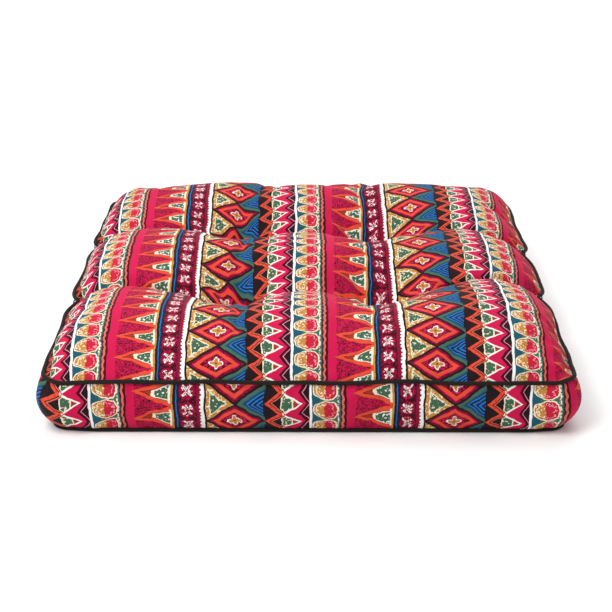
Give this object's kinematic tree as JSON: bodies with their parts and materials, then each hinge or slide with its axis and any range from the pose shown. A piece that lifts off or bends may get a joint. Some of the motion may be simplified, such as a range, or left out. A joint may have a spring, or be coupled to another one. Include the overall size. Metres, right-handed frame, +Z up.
{
  "type": "floor cushion",
  "caption": "Square boxed floor cushion in printed cotton with piped seams, three puffed rolls and deep tufts, to sit on.",
  "frame": {"origin": "on the floor, under the middle of the cushion", "axes": "+Z up through the top panel, +Y towards the back, +X to the right; the printed stripes run along Y"},
  "size_m": [0.61, 0.6089, 0.112],
  "materials": {
    "printed_cotton": "matt printed cotton in crimson, orange, teal, mustard and black stripes",
    "plain_cotton": "plain black cotton",
    "piping_cotton": "black bias-cut cotton",
    "piping_cord": "undyed twisted cotton cord",
    "cotton_wadding": "undyed carded cotton",
    "tuft_twine": "waxed dark twine",
    "tie_twine": "waxed black twine",
    "sewing_thread": "black spun thread"
  },
  "bodies": {
    "root": {"top_panel": "printed_cotton", "bottom_panel": "plain_cotton", "boxing_front": "printed_cotton", "boxing_back": "printed_cotton", "top_piping_cover": "piping_cotton", "bottom_piping_cover": "piping_cotton", "top_piping_cord": "piping_cord", "bottom_piping_cord": "piping_cord", "wadding_bottom": "cotton_wadding", "wadding_core": "cotton_wadding", "wadding_top": "cotton_wadding", "top_seam_thread": "sewing_thread", "bottom_seam_thread": "sewing_thread", "closing_seam_thread": "sewing_thread", "tuft_twine_front_left": "tuft_twine", "side_tie_front_left": "tie_twine", "tuft_twine_front_right": "tuft_twine", "side_tie_front_right": "tie_twine", "tuft_twine_back_left": "tuft_twine", "side_tie_back_left": "tie_twine", "tuft_twine_back_right": "tuft_twine", "side_tie_back_right": "tie_twine"}
  },
  "joints": []
}
